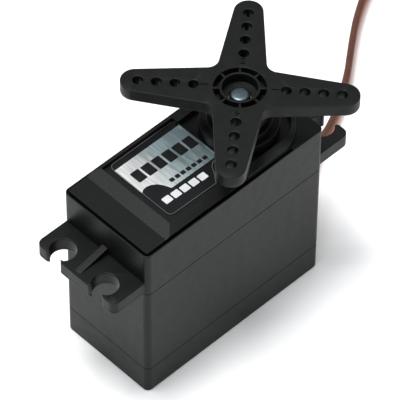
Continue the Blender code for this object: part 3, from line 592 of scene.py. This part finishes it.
def make_bottom_cover():
    """The tray under the case, with screw counterbores and the marks of ejector pins."""
    shape = bmesh.new()
    slab(shape, [case_outline()], 0.0, SEAM_LOW - SEAM_HALF, top=SEAM_EDGE, bottom=0.3)
    cutters = [prism(inner_outline(), FLOOR, SEAM_LOW + 1.1), lead_notch()]
    for x, y in SCREW_PLACES:
        cutters.append(prism(circle(x, y, SCREW_COUNTERBORE, 32), -1.0, 1.45))
        cutters.append(prism(circle(x, y, SCREW_BORE, 20), 0.5, 3.0))
    for x, y in EJECTOR_PLACES:
        cutters.append(prism(circle(x, y, 1.1, 24), -1.0, 0.04))
    shell = carved(shape, *cutters)
    extra = bmesh.new()
    pillars(extra, FLOOR - 0.1, SEAM_LOW - SEAM_HALF)
    piece(
        "bottom_cover_shell",
        merged(shell, extra),
        CASE_PLASTIC,
        stands_for=["bottom_cover"],
        angle=HARD_EDGE,
    )


def make_middle_case():
    """The tall part of the case, with the partition that the gears stand on."""
    low, high = SEAM_LOW + SEAM_HALF, SEAM_HIGH - SEAM_HALF
    shape = bmesh.new()
    slab(shape, [case_outline()], low, high, top=SEAM_EDGE, bottom=SEAM_EDGE)
    cutters = [prism(inner_outline(), 5.0, PARTITION), lead_notch()]
    for (x, y), radius in ((MOTOR_PLACE, 3.3), ((0, 0), 4.6), (GEAR_PLACE_1, 1.05), (GEAR_PLACE_2, 0.9)):
        cutters.append(prism(circle(x, y, radius, 32), PARTITION - 0.7, SEAM_HIGH + 1.65))
    shell = carved(shape, *cutters)
    extra = bmesh.new()
    into = PARTITION + 0.1
    pillars(extra, low, into)
    slab(extra, [[(-7.25, -8.8), (-6.1, -8.8), (-6.1, 8.8), (-7.25, 8.8)]], 10, into)
    slab(extra, [circle(0, 0, 6.2, 32), circle(0, 0, 3.5, 32)], 21.8, into)
    piece(
        "middle_case_shell",
        merged(shell, extra),
        CASE_PLASTIC,
        stands_for=["middle_case"],
        angle=HARD_EDGE,
    )


def ear_outline():
    """Both ears in one outline, its slots open to the ends and their lips rounded."""
    points = []
    slot, hole, lip, corner = 1.4, 2.27, 0.45, 1.3
    side_angle = math.degrees(math.asin(slot / hole))
    for end, hole_x, turn in ((EAR_FRONT, EAR_FRONT - 2.4, 0), (EAR_BACK, EAR_BACK + 2.2, 180)):
        side = 1 if turn == 0 else -1
        inset = end - side * corner
        points += arc(inset, -side * 8.0, corner, turn - 90, turn, 6)
        for y in (-5.0, 5.0):
            middle = side * y
            points += arc(end - side * lip, middle - side * (slot + lip), lip, turn, turn + 90, 4)
            points += arc(hole_x, middle, hole, turn - side_angle, turn - 360 + side_angle, 32)
            points += arc(end - side * lip, middle + side * (slot + lip), lip, turn - 90, turn, 4)
        points += arc(inset, side * 8.0, corner, turn, turn + 90, 6)
    return points


def rib(shape, wall, side):
    """A stiffening rib that slopes from the wall to the ear's end."""
    inner, outer = wall - side * 1.0, wall + side * 6.2
    low, top = EAR_TOP - 0.5, EAR_TOP + 1.4
    outline = [(inner, low), (outer, low), (outer, EAR_TOP + 0.03), (wall, top), (inner, top)]
    made = bmesh.new()
    slab(made, [outline], -0.65, 0.65, 0.08, 0.08)
    return merged(shape, put(made, turned(math.pi / 2, "X")))


def moat_edge():
    """The moat's rounded outline, from its -Y side round to +Y."""
    corner = MOAT_HALF - MOAT_CORNER
    outline = arc(MOAT_FRONT, -corner, MOAT_CORNER, 270, 360, 14)
    return outline + arc(MOAT_FRONT, corner, MOAT_CORNER, 0, 90, 14)


def pocket_outline(grow=0.0):
    """The label's pocket, cut off towards the moat by a bent edge."""
    back, low, high = POCKET_BACK - grow, POCKET_MINUS_Y - grow, POCKET_PLUS_Y + grow
    outline = [(MOAT_BACK, high), (back, high), (back, low), (-11.2, low)]
    outline += [(x + grow, y - grow) for x, y in ((-10.5, -7.05), (-10.0, -6.6), (-9.3, -5.5))]
    return outline + [(MOAT_BACK, -1.5 - grow)]


def shaft_frame():
    """The raised frame round the moat, which slopes outwards and ends in an arc about the shaft."""
    shape = bmesh.new()
    half, radius = SHAFT_FRAME_HALF, SHAFT_FRAME_RADIUS
    side = math.degrees(math.asin(half / radius))
    edge = arc(0, 0, radius, -side, side, 40) + [(FRAMES_MEET, half), (FRAMES_MEET, MOAT_HALF)]
    edge += moat_edge()[::-1] + [(FRAMES_MEET, -MOAT_HALF), (FRAMES_MEET, -half)]
    slab(shape, [edge], MOAT_FLOOR - 0.1, FRAME_TOP, top=0.09)
    for vert in shape.verts:
        outer = max(vert.co.xy.length, abs(vert.co.y)) > (half - 0.2) * MM
        if outer and vert.co.z > LEDGE * MM:
            vert.co.z -= SHAFT_FRAME_FALL * MM
    return shape


def label_frame():
    """The frame round the label pocket, which slopes down to the ledge on three sides."""
    shape = bmesh.new()
    low = MOAT_FLOOR - 0.05
    run = (FRAME_TOP - low) / FRAME_SLOPE
    front, back, right, left = FRAMES_MEET + 0.1, POCKET_BACK - 0.1, POCKET_MINUS_Y, POCKET_PLUS_Y
    high_outline = [(front, left), (back, left), (back, right), (front, right)]
    low_outline = [(front, left + run), (back - run, left + run)]
    low_outline += [(back - run, right - run), (front, right - run)]
    sloped(shape, low_outline, high_outline, low, FRAME_TOP)
    lip = CASE_HALF - GROOVE_IN
    cutters = [prism(pocket_outline(), low - 1, FRAME_TOP + 1)]
    for y0, y1 in ((lip, 20), (-20, -lip)):
        cutters.append(prism([(-40, y0), (0, y0), (0, y1), (-40, y1)], low - 1, FRAME_TOP + 1))
    return softened(carved(shape, *cutters), 0.13, angle=12)


def output_boss():
    """The stepped ring that holds the output bush under a lip."""
    shape = bmesh.new()
    bore, lip, upper, lower = 4.55, 3.6, 5.5, 6.75
    step, seat, top = 37.4, 38.0, 38.2
    profile = [(bore, ROOF), (bore, seat), (lip, seat), (lip, top)]
    profile += [(upper, top), (upper, step), (lower, step), (lower, MOAT_FLOOR - 0.1)]
    lathe(shape, filleted(profile, 0.14), steps=72)
    return shape


def make_top_case():
    """The gear cover: walls, groove, ledge, raised frames, moat, boss and ears."""
    half, corner, end = CASE_HALF, CASE_CORNER, DECK_BACK
    lip = half - GROOVE_IN
    shell = bmesh.new()
    slab(shell, [case_outline(), inner_outline()], SEAM_HIGH + SEAM_HALF, GROOVE_FLOOR, bottom=SEAM_EDGE)
    slab(shell, [case_outline(GROOVE_IN), inner_outline()], GROOVE_FLOOR - 0.3, ROOF)
    slab(shell, [case_outline(GROOVE_IN), circle(0, 0, 4.8, 48)], ROOF - 0.05, MOAT_FLOOR)

    back = CASE_BACK + corner
    outer = arc(back, half - corner, corner, 90, 180, 8) + arc(back, corner - half, corner, 180, 270, 8)
    inner = arc(back, corner - half, corner - GROOVE_OUT, 270, 180, 8)
    inner += arc(back, half - corner, corner - GROOVE_OUT, 180, 90, 8)
    rim = outer + [(end, -half), (end, GROOVE_OUT - half)] + inner + [(end, half - GROOVE_OUT), (end, half)]
    rim_faces = slab(shell, [rim], GROOVE_FLOOR, WALL_TOP, top=0.04, steps=2)
    for vert in {v for face in rim_faces for v in face.verts}:
        if vert.co.x > 0 and vert.co.z > GROOVE_FLOOR * MM:
            vert.co.z += (DECK_TOP - 0.02 - WALL_TOP) * MM

    corner_in = 0.35
    back = CASE_BACK + GROOVE_IN + corner_in
    ledge = arc(back, lip - corner_in, corner_in, 90, 180, 4)
    ledge += arc(back, corner_in - lip, corner_in, 180, 270, 4)
    ledge += [(end, -lip), (end, -8.2), (-23.3, -8.2), (-23.3, 8.9), (end, 8.9), (end, lip)]
    slab(shell, [ledge], MOAT_FLOOR - 0.05, LEDGE, top=0.05)
    slab(shell, [pocket_outline(0.4)], MOAT_FLOOR - 0.1, POCKET_FLOOR, top=0.04)

    front = CASE_FRONT - corner
    deck = arc(front, corner - half, corner, -90, 0, 8) + arc(front, half - corner, corner, 0, 90, 8)
    deck += [(end, half), (end, 8.5)] + arc(0, 0, 9.0, 70, -70, 24) + [(end, -8.5), (end, -half)]
    slab(shell, [deck], GROOVE_FLOOR, DECK_TOP, top=0.09)

    ears = bmesh.new()
    slab(ears, [ear_outline(), inner_outline()], EAR_LOW, EAR_SEAM - 0.01, top=0.03, bottom=0.12, steps=2)
    slab(ears, [ear_outline(), inner_outline()], EAR_SEAM + 0.01, EAR_TOP, top=0.16, bottom=0.03)
    ears = rib(rib(ears, CASE_FRONT, 1), CASE_BACK, -1)
    pillars(shell, SEAM_HIGH + 0.15, 31.4)
    whole = merged(shell, label_frame(), output_boss(), ears)
    piece("top_case_shell", whole, CASE_PLASTIC, stands_for=["top_case"], angle=HARD_EDGE)
    # The ring's lighter plastic is painted sheen.
    piece("shaft_frame", shaft_frame(), LIT_FRAME_PLASTIC, angle=HARD_EDGE)


# ---------------------------------------------------------------- label


def label_outline(inset=0.0):
    """The label's edge: three round corners, and a bent one towards the moat."""
    corner = 1.0
    points = arc(-7.8, 7.5, corner, 0, 90, 6) + arc(-20.6, 7.5, corner, 90, 180, 6)
    points += arc(-20.7, -5.25, corner, 180, 270, 6)
    points += [(-11.3, -6.35), (-10.9, -5.75), (-10.1, -4.7), (-9.7, -4.0), (-9.3, -3.3)]
    points += [(-8.6, -2.75), (-7.2, -2.4), (-6.85, -1.9)]
    return moved_in(points, inset) if inset else points


def print_layer(name, outlines, level, material):
    """A layer of print on the label, about a hundredth of a millimetre proud of it."""
    shape = bmesh.new()
    for outline in outlines:
        slab(shape, outline, LABEL_LOW, level)
    return piece(name, shape, material)


def blocks(start, end, count, gap, height):
    """A row of plain rounded blocks, where the real label has a line of lettering."""
    (x0, y0), (x1, y1) = start, end
    pitch = (x1 - x0 + gap) / count
    row = []
    for k in range(count):
        left = x0 + k * pitch
        middle = y0 + (y1 - y0) * (k + 0.5) / count
        row.append([rounded(left, left + pitch - gap, middle - height / 2, middle + height / 2, 0.18, 3)])
    return row


def make_label():
    """The printed foil label, its wording replaced by plain blocks."""
    shape = bmesh.new()
    slab(shape, [label_outline()], POCKET_FLOOR - 0.02, LABEL_TOP, top=0.04, steps=2)
    piece("label_foil", shape, BLACK_PRINT_AND_SHADE, stands_for=["label"])

    silver = [(-6.9, 7.1), (-21.58, 7.1), (-21.62, 0.5), (-20.9, 0.92), (-20.1, 1.0), (-19.3, 0.75)]
    silver += [(-18.5, 0.2), (-17.9, -0.65), (-17.3, -2.0), (-8.4, -2.1), (-7.2, -2.0), (-6.95, -1.9)]
    first, second = LABEL_TOP + 0.008, LABEL_TOP + 0.012
    print_layer("label_silver", [[silver]], first, SILVER_PRINT)
    print_layer("label_border", [[label_outline(0.05), label_outline(0.16)]], second, BORDER_PRINT)
    large = blocks((-20.3, 3.65), (-7.4, 3.0), 6, 0.42, 2.5)
    small = blocks((-16.5, -0.75), (-8.4, -1.05), 7, 0.3, 0.8)
    print_layer("label_marks_dark", large + small, second, DARK_PRINT)
    pale = blocks((-20.3, -3.25), (-11.2, -3.75), 5, 0.35, 1.4)
    print_layer("label_marks_pale", pale, second, PALE_PRINT)


# ---------------------------------------------------------------- horn


def horn_outline():
    """Four tapering arms with round tips, joined by fillets."""
    lean, fillet, tip, reach_tip = 7.15, 2.0, 2.5, 17.2
    slope = math.radians(lean)
    side = reach_tip * math.sin(slope) + tip
    reach = (side + fillet) * math.sqrt(2) / (math.sin(slope) + math.cos(slope))
    points = []
    for arm in range(4):
        turn = HORN_TURN + 90 * arm
        x, y = reach_tip * math.cos(math.radians(turn)), reach_tip * math.sin(math.radians(turn))
        points += arc(x, y, tip, turn - 90 + lean, turn + 90 - lean, 20)
        x, y = reach * math.cos(math.radians(turn + 45)), reach * math.sin(math.radians(turn + 45))
        points += arc(x, y, fillet, turn + 270 - lean, turn + 180 + lean, 14)
    return points


def digit(text, turn):
    """A cutter for one engraved arm number."""
    curve = bpy.data.curves.new("digit", "FONT")
    curve.body = text
    curve.size = 1.9 * MM
    curve.align_x = "CENTER"
    curve.align_y = "CENTER"
    curve.extrude = 0.2 * MM
    helper = bpy.data.objects.new("digit", curve)
    bpy.context.scene.collection.objects.link(helper)
    graph = bpy.context.evaluated_depsgraph_get()
    mesh = bpy.data.meshes.new_from_object(helper.evaluated_get(graph))
    bpy.data.objects.remove(helper)
    shape = bmesh.new()
    shape.from_mesh(mesh)
    bpy.data.meshes.remove(mesh)
    bmesh.ops.remove_doubles(shape, verts=shape.verts, dist=0.001 * MM)
    angle = math.radians(turn)
    reach = 5.75
    place = moved(reach * math.cos(angle), reach * math.sin(angle), HORN_HIGH)
    return put(shape, place @ turned(angle - math.pi / 2))


def make_horn():
    """The four-armed horn, with its drilled arms, sunken hub and eight spokes."""
    holes = []
    for arm in range(4):
        turn = math.radians(HORN_TURN + 90 * arm)
        dx, dy = math.cos(turn), math.sin(turn)
        holes += [circle(r * dx, r * dy, HORN_HOLE, 24) for r in HORN_ARM_HOLES]
    arms = bmesh.new()
    slab(arms, [horn_outline(), circle(0, 0, 4.4, 64)] + holes, HORN_PLATE, HORN_HIGH, top=0.12)
    numbers = [digit(text, HORN_TURN + 90 * arm) for arm, text in enumerate("2341")]
    arms = carved(arms, *numbers)
    rest = bmesh.new()
    slab(rest, [horn_outline(), circle(0, 0, 3.2, 64)] + holes, HORN_LOW, HORN_PLATE, bottom=0.12)
    cup, bore, under = 43.0, 1.9, 42.35
    hub = [(HUB_RING, cup + 0.2), (HUB_RING, HORN_HIGH), (HUB_BORE, HORN_HIGH), (HUB_BORE, cup)]
    hub += [(bore, cup), (bore, under), (3.3, under)]
    lathe(rest, filleted(hub, 0.07), steps=64)
    skirt = [(3.25, 42.5), (3.25, 39.0), (4.9, 39.0), (4.9, 42.7)]
    lathe(rest, filleted(skirt, 0.12), steps=64)
    for rib_index in range(8):
        angle = math.radians(HORN_TURN + 4.7 + 45 * rib_index)
        spoke = bmesh.new()
        outline = [(3.2, -0.2), (4.6, -0.2), (4.6, 0.2), (3.2, 0.2)]
        slab(spoke, [outline], HORN_PLATE - 0.1, HORN_HIGH - 0.15, top=0.05)
        rest = merged(rest, put(spoke, turned(angle)))
    piece(
        "horn_star",
        merged(arms, rest),
        HORN_PLASTIC,
        body="output",
        stands_for=["horn"],
        angle=HARD_EDGE,
    )


def make_shaft_tip():
    """The end of the output shaft, seen down the horn's hub: a grey dome inside a black ring, which is painted
    shade for the dark gap round it.
    """
    shape = bmesh.new()
    shade_ring, dome = 1.76, 1.56
    profile = [(shade_ring, 42.45), (shade_ring, 43.34), (shade_ring - 0.08, 43.42), (dome, 43.4)]
    profile += [(dome - 0.1, 43.5), (1.1, 43.56), (0.6, 43.6), (0, 43.62)]
    # Faces outside the dome take the black material: painted shade for the dark gap round the shaft's end.
    for face in lathe(shape, profile, steps=64):
        face.material_index = int(face.calc_center_median().xy.length > dome * MM)
    piece("shaft_tip", shape, [SHAFT_STEEL, BLACK_PRINT_AND_SHADE], body="output")


# ---------------------------------------------------------------- camera, floor and light


def make_camera():
    """The camera: a long lens from beyond the motor end's -Y side, well above."""
    azimuth, elevation, roll = math.radians(-44.328), math.radians(49.698), math.radians(0.458)
    target, distance = Vector((-10.0, 0.0, 20.0)) * MM, 625.0 * MM
    out = Vector(
        (math.sin(azimuth) * math.cos(elevation), -math.cos(azimuth) * math.cos(elevation), math.sin(elevation))
    )
    level = (-out).cross(Vector((0, 0, 1))).normalized()
    upright = out.cross(level)
    right = math.cos(roll) * level + math.sin(roll) * upright
    up = math.cos(roll) * upright - math.sin(roll) * level
    camera = bpy.data.objects.new("camera", bpy.data.cameras.new("camera"))
    bpy.context.scene.collection.objects.link(camera)
    place = Matrix((right, up, out)).transposed().to_4x4()
    place.translation = target + out * distance
    camera.matrix_world = place
    camera.data.sensor_width = 36.0
    camera.data.lens = 337.1
    camera.data.shift_x = 0.0124
    camera.data.shift_y = 0.0468
    camera.data.clip_start = 0.05
    camera.data.clip_end = 20.0
    bpy.context.scene.camera = camera


def area_light(name, place, aim, size, watts, colour=(1, 1, 1)):
    """A rectangular light at a place in metres, turned to its aim."""
    light = bpy.data.lights.new(name, "AREA")
    light.shape = "RECTANGLE"
    light.size, light.size_y = size
    light.energy = watts
    light.color = colour
    made = bpy.data.objects.new(name, light)
    bpy.context.scene.collection.objects.link(made)
    made.location = place
    made.rotation_euler = (Vector(aim) - Vector(place)).to_track_quat("-Z", "Y").to_euler()


def make_stage():
    """A white floor, a grey room and soft lights."""
    shape = bmesh.new()
    bmesh.ops.create_grid(shape, x_segments=4, y_segments=4, size=1.6)
    floor = as_object("floor", shape)
    nodes = Nodes("white_floor")
    nodes.set(Roughness=0.8, Specular_IOR_Level=0.2)
    nodes.colour_from(nodes.ramp(nodes.noise(0.02, 2.0), [(0.3, 0.94), (0.7, 0.96)]))
    nodes.set(Emission_Color=(1.0, 1.0, 1.0), Emission_Strength=0.06)
    floor.data.materials.append(nodes.material)
    world = bpy.data.worlds.new("room")
    world.use_nodes = True
    background = world.node_tree.nodes["Background"]
    background.inputs["Color"].default_value = (0.96, 0.98, 1.0, 1.0)
    background.inputs["Strength"].default_value = 0.52
    bpy.context.scene.world = world
    area_light("overhead", (0.0, 0.0, 1.3), (0, 0, 0), (1.4, 1.4), 2.6)
    area_light("zenith", (-0.15, 0.12, 1.0), (-0.01, 0, 0), (0.34, 0.34), 9.5, (0.99, 1.0, 1.0))
    bpy.context.scene.view_settings.view_transform = "Standard"


# ---------------------------------------------------------------- lead


# The route repeats the points of the CAD model's ribbon, and the coil lies inside its ring
RIBBON_WIDTH = 3.6
WIRE_RADIUS = 0.625
WIRE_SPACING = (RIBBON_WIDTH - 2 * WIRE_RADIUS) / 2
LIFT = 0.02
REST = WIRE_RADIUS + LIFT + 0.01
COIL_CENTRE = (87.3, 11.2)
COIL_RADII = (22.0, 18.1)
COIL_TURNS = 1.7
COIL_START = 100.0
COIL_STEPS = 20
BETWEEN = 4
LEAD_ROUTE = [
    (9.4, 0, 5.9), (10.6, 0, 5.9), (13.2, 0.2, 5.7), (17.6, 1.5, 4.2), (22.0, 4.0, 2.3), (26.0, 6.6, 1.0),
    (29.3, 8.4, REST), (32.3, 9.5, REST), (37.2, 12.0, REST), (43.0, 15.8, REST), (46.5, 18.5, REST),
    (50.2, 21.4, REST), (54.9, 24.8, REST), (60.8, 28.2, REST), (66.5, 30.2, REST), (73.5, 31.4, REST),
]
ROLL = math.radians(-92)
ROLLS_OVER = (12.0, 26.0)
ROLLS_BACK = (60.0, 72.0)
COIL_CROSSES = (0.8, 1.0)


def eased(value, start, end):
    """Zero to one from start to end, slow at both."""
    t = min(1.0, max(0.0, (value - start) / (end - start)))
    return t * t * (3 - 2 * t)


def roll_at(x):
    """How far the ribbon lies over on its edge, on its way from the case to the coil."""
    return ROLL * eased(x, *ROLLS_OVER) * (1 - eased(x, *ROLLS_BACK))


def lead_points():
    """The lead's middle line: along the floor, round the coil and into the connector."""
    points = []
    for x, y, z in LEAD_ROUTE:
        points.append((x, y, max(z, REST + WIRE_SPACING * abs(math.sin(roll_at(x))))))
    x, y = COIL_CENTRE
    outer, inner = COIL_RADII
    for i in range(round(COIL_TURNS * COIL_STEPS) + 1):
        turns = i / COIL_STEPS
        radius = outer + (inner - outer) * eased(turns, *COIL_CROSSES)
        angle = math.radians(COIL_START - 360 * turns)
        points.append((x + radius * math.cos(angle), y + radius * math.sin(angle), REST))
    leaving, bend = COIL_START - 360 * COIL_TURNS, 8.0
    x += (inner - bend) * math.cos(math.radians(leaving))
    y += (inner - bend) * math.sin(math.radians(leaving))
    return points + [(*place, REST) for place in arc(x, y, bend, leaving, leaving - 100, 8)[1:]]


def smooth(points, between):
    """A smooth curve through the points, with some points between each two."""
    knots = [Vector(p) for p in points]
    knots = [2 * knots[0] - knots[1]] + knots + [2 * knots[-1] - knots[-2]]
    fine = []
    for p0, p1, p2, p3 in zip(knots, knots[1:], knots[2:], knots[3:]):
        for step in range(between):
            t = step / between
            square, cube = 2 * p0 - 5 * p1 + 4 * p2 - p3, 3 * p1 - p0 - 3 * p2 + p3
            fine.append(0.5 * (2 * p1 + (p2 - p0) * t + square * t * t + cube * t**3))
    return fine + [knots[-2]]


def tube(shape, line, offset, radius, material_index, rolled, sides=12):
    """Adds one wire at an offset from the line. The ribbon lies over along its first rolled points."""
    rings = []
    for i, here in enumerate(line):
        along = (line[min(i + 1, len(line) - 1)] - line[max(i - 1, 0)]).normalized()
        left = Vector((0, 0, 1)).cross(along).normalized()
        up = along.cross(left)
        roll = roll_at(here.x) if i < rolled else 0.0
        middle = here + (math.cos(roll) * left - math.sin(roll) * up) * offset
        ring = []
        for k in range(sides):
            a = 2 * math.pi * k / sides
            ring.append(shape.verts.new((middle + radius * (math.cos(a) * left + math.sin(a) * up)) * MM))
        rings.append(ring)
    faces = [shape.faces.new(rings[0]), shape.faces.new(rings[-1])]
    for ring, after in zip(rings, rings[1:]):
        for k in range(sides):
            faces.append(shape.faces.new((ring[k - 1], ring[k], after[k], after[k - 1])))
    for face in faces:
        face.material_index = material_index
    bmesh.ops.recalc_face_normals(shape, faces=faces)


CONTACT_ROWS = (-2.54, 0, 2.54)


def make_connector():
    """The three-way socket housing on the lead's end, with its crimp windows and contacts."""
    low, high = box_mm("connector_housing")
    place = moved((low[0] + high[0]) / 2, (low[1] + high[1]) / 2) @ turned(math.radians(29.7))
    housing = bmesh.new()
    slab(housing, [rounded(-7, 7, -3.8, 3.8, 0.3, 4)], LIFT, high[2], 0.2, 0.15)
    cutters = []
    for y in CONTACT_ROWS:
        for x0, x1, z0, z1 in ((-1, 8, 0.85, 1.65), (-4.6, -1.6, 1.9, 4)):
            cutter = bmesh.new()
            half = 0.4 if z0 < 1 else 0.75
            slab(cutter, [[(x0, y - half), (x1, y - half), (x1, y + half), (x0, y + half)]], z0, z1)
            cutters.append(put(cutter, place))
    body = carved(put(housing, place), *cutters)
    made = piece(
        "connector",
        body,
        CONNECTOR_PLASTIC,
        stands_for=["connector_housing"],
        angle=HARD_EDGE,
    )
    contacts = bmesh.new()
    for y in CONTACT_ROWS:
        slab(contacts, [rounded(-4.3, 5.6, y - 0.36, y + 0.36, 0.1, 2)], 0.95, 1.5, 0.05, 0.05)
        slab(contacts, [rounded(-4.2, -2.0, y - 0.5, y + 0.5, 0.1, 2)], 1.3, 1.85, 0.1)
    pins = piece("connector_contacts", put(contacts, place), CONTACT)
    return [made, pins]


def make_tie():
    """The twist tie that holds the coil's turns together."""
    shape = bmesh.new()
    angle = math.radians(62)
    inner, outer = COIL_RADII[1] - 1.85, COIL_RADII[0] + 1.75
    profile = rounded(inner, outer, LIFT, 1.33, 0.3, 4)
    hole = rounded(inner + 0.12, outer - 0.12, 0.12, 1.25, 0.25, 4)
    slab(shape, [profile, hole], -1.1, 1.1)
    put(shape, moved(*COIL_CENTRE) @ turned(angle) @ turned(math.pi / 2, "X"))
    return piece("lead_tie", shape, RUBBER)


def make_lead():
    """The three-wire ribbon from the case to its connector, tied in a coil."""
    points = lead_points()
    line = smooth(points, BETWEEN)
    shape = bmesh.new()
    for index, offset in enumerate((WIRE_SPACING, 0.0, -WIRE_SPACING)):
        tube(shape, line, offset, WIRE_RADIUS, index, len(LEAD_ROUTE) * BETWEEN)
    for vert in shape.verts:
        vert.co.z = max(vert.co.z, LIFT * MM)
    lead = piece("lead", shape, [BROWN, RED, ORANGE], stands_for=["lead_ribbon", "lead_coil"])
    lead.modifiers.clear()
    others = make_connector() + [make_tie()]


def make_grommet():
    """The rubber sleeve in the case's notch, where the lead leaves."""
    half = 2.1
    shape = bmesh.new()
    slab(shape, [rounded(8.0, 10.3, -half, half, 0.2, 4)], 4.7, 7.1, 0.25, 0.25)
    slab(shape, [rounded(7.5, 8.3, -3.0, 3.0, 0.2, 3)], 3.9, 8.0, 0.2, 0.2)
    piece("lead_grommet", shape, RUBBER, stands_for=["lead_strain_relief"])


make_camera()
make_stage()
make_bottom_cover()
make_middle_case()
make_top_case()
make_label()
make_horn()
make_shaft_tip()
make_lead()
make_grommet()
finish_cad_parts()
